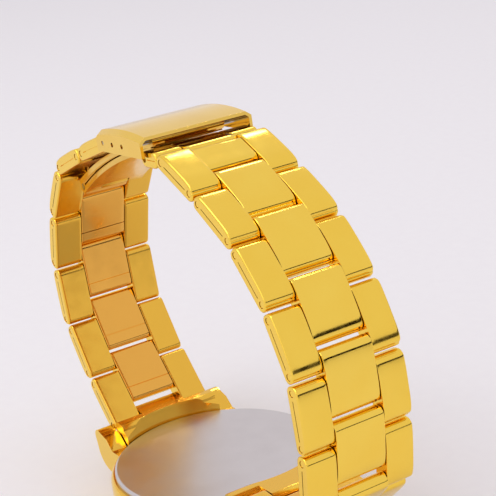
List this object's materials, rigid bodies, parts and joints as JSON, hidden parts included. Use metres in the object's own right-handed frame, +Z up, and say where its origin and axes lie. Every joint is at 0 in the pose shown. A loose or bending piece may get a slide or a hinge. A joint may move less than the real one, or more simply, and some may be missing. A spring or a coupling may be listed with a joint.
{
  "type": "dress watch",
  "caption": "Round dress watch on a folded three-row link bracelet, closed by a fold-over clasp, lying on its crystal with the bracelet standing as a loop.",
  "frame": {"origin": "middle of the crystal's flat outer face, which the watch rests on", "axes": "+Z up from the crystal towards the wrist side, through the middle of the dial; +X towards 12 o'clock; +Y towards the crown at 3 o'clock"},
  "size_m": [0.0749, 0.0389, 0.0639],
  "materials": {
    "band_outer_gold": "polished gold tone",
    "band_centre_gold": "polished gold tone",
    "case_gold": "polished gold tone",
    "clasp_gold": "polished gold tone",
    "blade_gold": "satin gold tone",
    "crystal_glass": "clear polished",
    "clear_gasket": "clear matte",
    "dial_lacquer": "satin lacquer",
    "dial_gold": "polished gold tone",
    "holder_plastic": "matte",
    "movement_brass": "brushed",
    "battery_steel": "satin",
    "back_steel": "polished",
    "black_gasket": "matte",
    "pin_steel": "satin"
  },
  "bodies": {
    "head": {"case_middle": "case_gold", "bezel": "case_gold", "crystal": "crystal_glass", "crystal_gasket": "clear_gasket", "dial": "dial_lacquer", "hour_markers": "dial_gold", "movement_holder": "holder_plastic", "movement": "movement_brass", "battery": "battery_steel", "case_back": "back_steel", "back_gasket": "black_gasket", "crown_tube": "case_gold", "lug_spring_bars": "pin_steel", "end_link_12": "case_gold", "end_link_6": "case_gold"},
    "hour_hand": {"hour_hand": "dial_gold"},
    "minute_hand": {"minute_hand": "dial_gold"},
    "second_hand": {"second_hand": "dial_gold"},
    "crown_seat": {"crown_gasket": "black_gasket"},
    "crown": {"crown": "case_gold", "crown_stem": "pin_steel"},
    "link_12_1": {"band_12_outer_1": "band_outer_gold", "band_12_centre_1": "band_centre_gold"},
    "link_12_2": {"band_12_outer_2": "band_outer_gold", "band_12_centre_2": "band_centre_gold"},
    "link_12_3": {"band_12_outer_3": "band_outer_gold", "band_12_centre_3": "band_centre_gold"},
    "link_12_4": {"band_12_outer_4": "band_outer_gold", "band_12_centre_4": "band_centre_gold"},
    "link_12_5": {"band_12_outer_5": "band_outer_gold", "band_12_centre_5": "band_centre_gold"},
    "link_12_6": {"band_12_outer_6": "band_outer_gold", "band_12_centre_6": "band_centre_gold"},
    "link_12_7": {"band_12_outer_7": "band_outer_gold", "band_12_centre_7": "band_centre_gold"},
    "link_12_8": {"band_12_outer_8": "band_outer_gold", "band_12_centre_8": "band_centre_gold"},
    "link_6_1": {"band_6_outer_1": "band_outer_gold", "band_6_centre_1": "band_centre_gold"},
    "link_6_2": {"band_6_outer_2": "band_outer_gold", "band_6_centre_2": "band_centre_gold"},
    "link_6_3": {"band_6_outer_3": "band_outer_gold", "band_6_centre_3": "band_centre_gold"},
    "link_6_4": {"band_6_outer_4": "band_outer_gold", "band_6_centre_4": "band_centre_gold"},
    "link_6_5": {"band_6_outer_5": "band_outer_gold", "band_6_centre_5": "band_centre_gold"},
    "link_6_6": {"band_6_outer_6": "band_outer_gold", "band_6_centre_6": "band_centre_gold"},
    "link_6_7": {"band_6_outer_7": "band_outer_gold", "band_6_centre_7": "band_centre_gold"},
    "clasp_cover": {"clasp_cover": "clasp_gold", "clasp_spring_bar": "pin_steel", "cover_hinge_pin": "pin_steel"},
    "clasp_blade_outer": {"clasp_blade_outer": "blade_gold", "blade_hinge_pin": "pin_steel"},
    "clasp_blade_inner": {"clasp_blade_inner": "blade_gold"},
    "end_piece": {"end_piece_outer": "band_outer_gold", "end_piece_centre": "band_centre_gold", "clasp_end_pin": "pin_steel"}
  },
  "joints": [
    {"name": "minute_turn", "type": "hinge", "parent": "head", "child": "minute_hand", "pos_m": [0, 0, 0.00225], "axis": [0, 0, 1], "continuous": true},
    {"name": "hour_turn", "type": "hinge", "parent": "head", "child": "hour_hand", "pos_m": [0, 0, 0.00225], "axis": [0, 0, 1], "continuous": true},
    {"name": "second_turn", "type": "hinge", "parent": "head", "child": "second_hand", "pos_m": [0, 0, 0.00225], "axis": [0, 0, 1], "continuous": true},
    {"name": "crown_pull", "type": "slide", "parent": "head", "child": "crown_seat", "axis": [0, 1, 0], "range_m": [0, 0.001]},
    {"name": "crown_turn", "type": "hinge", "parent": "crown_seat", "child": "crown", "pos_m": [0, 0.0192, 0.005], "axis": [0, 1, 0], "continuous": true},
    {"name": "link_12_1_hinge", "type": "hinge", "parent": "head", "child": "link_12_1", "pos_m": [0.02, 0, 0.0097], "axis": [0, 1, 0], "range_deg": [0, 2]},
    {"name": "link_12_2_hinge", "type": "hinge", "parent": "link_12_1", "child": "link_12_2", "pos_m": [0.03012, 0, 0.00898], "axis": [0, 1, 0], "range_deg": [0, 46.57]},
    {"name": "link_12_3_hinge", "type": "hinge", "parent": "link_12_2", "child": "link_12_3", "pos_m": [0.03761, 0, 0.01584], "axis": [0, 1, 0], "range_deg": [0, 41.86]},
    {"name": "link_12_4_hinge", "type": "hinge", "parent": "link_12_3", "child": "link_12_4", "pos_m": [0.0386, 0, 0.02594], "axis": [0, 1, 0], "range_deg": [0, 11.42]},
    {"name": "link_12_5_hinge", "type": "hinge", "parent": "link_12_4", "child": "link_12_5", "pos_m": [0.03758, 0, 0.03604], "axis": [0, 1, 0], "range_deg": [0, 21.83]},
    {"name": "link_12_6_hinge", "type": "hinge", "parent": "link_12_5", "child": "link_12_6", "pos_m": [0.03288, 0, 0.04503], "axis": [0, 1, 0], "range_deg": [0, 16.02]},
    {"name": "link_12_7_hinge", "type": "hinge", "parent": "link_12_6", "child": "link_12_7", "pos_m": [0.02587, 0, 0.05238], "axis": [0, 1, 0], "range_deg": [0, 16.72]},
    {"name": "link_12_8_hinge", "type": "hinge", "parent": "link_12_7", "child": "link_12_8", "pos_m": [0.01705, 0, 0.0574], "axis": [0, 1, 0], "range_deg": [0, 5.41]},
    {"name": "link_6_1_hinge", "type": "hinge", "parent": "head", "child": "link_6_1", "pos_m": [-0.02, 0, 0.0097], "axis": [0, -1, 0], "range_deg": [0, 47]},
    {"name": "link_6_2_hinge", "type": "hinge", "parent": "link_6_1", "child": "link_6_2", "pos_m": [-0.02692, 0, 0.01712], "axis": [0, -1, 0], "range_deg": [0, 9.7]},
    {"name": "link_6_3_hinge", "type": "hinge", "parent": "link_6_2", "child": "link_6_3", "pos_m": [-0.03249, 0, 0.02561], "axis": [0, -1, 0], "range_deg": [0, 26.6]},
    {"name": "link_6_4_hinge", "type": "hinge", "parent": "link_6_3", "child": "link_6_4", "pos_m": [-0.03368, 0, 0.03569], "axis": [0, -1, 0], "range_deg": [0, 23]},
    {"name": "link_6_5_hinge", "type": "hinge", "parent": "link_6_4", "child": "link_6_5", "pos_m": [-0.03083, 0, 0.04543], "axis": [0, -1, 0], "range_deg": [0, 16.2]},
    {"name": "link_6_6_hinge", "type": "hinge", "parent": "link_6_5", "child": "link_6_6", "pos_m": [-0.02538, 0, 0.05399], "axis": [0, -1, 0], "range_deg": [0, 35]},
    {"name": "link_6_7_hinge", "type": "hinge", "parent": "link_6_6", "child": "link_6_7", "pos_m": [-0.016, 0, 0.05787], "axis": [0, -1, 0], "range_deg": [0, 3.5]},
    {"name": "cover_lift", "type": "hinge", "parent": "link_6_7", "child": "clasp_cover", "pos_m": [-0.0064, 0, 0.06118], "axis": [0, -1, 0], "range_deg": [0, 12]},
    {"name": "clasp_open", "type": "hinge", "parent": "clasp_cover", "child": "clasp_blade_outer", "pos_m": [0.00221, 0, 0.06206], "axis": [0, -1, 0], "range_deg": [0, 50]},
    {"name": "blade_unfold", "type": "hinge", "parent": "clasp_blade_outer", "child": "clasp_blade_inner", "pos_m": [-0.02479, 0, 0.04991], "axis": [0, 1, 0], "range_deg": [0, 80]},
    {"name": "end_piece_turn", "type": "hinge", "parent": "clasp_blade_inner", "child": "end_piece", "pos_m": [0.0049, 0, 0.06032], "axis": [0, 1, 0], "range_deg": [0, 15]}
  ],
  "couplings": [
    {"joint": "minute_turn", "follows": "second_turn", "ratio": 0.016667},
    {"joint": "hour_turn", "follows": "second_turn", "ratio": 0.0013889},
    {"joint": "blade_unfold", "follows": "clasp_open", "ratio": 1.6},
    {"joint": "end_piece_turn", "follows": "clasp_open", "ratio": 0.3},
    {"joint": "link_12_2_hinge", "follows": "clasp_open", "ratio": 0.9}
  ]
}
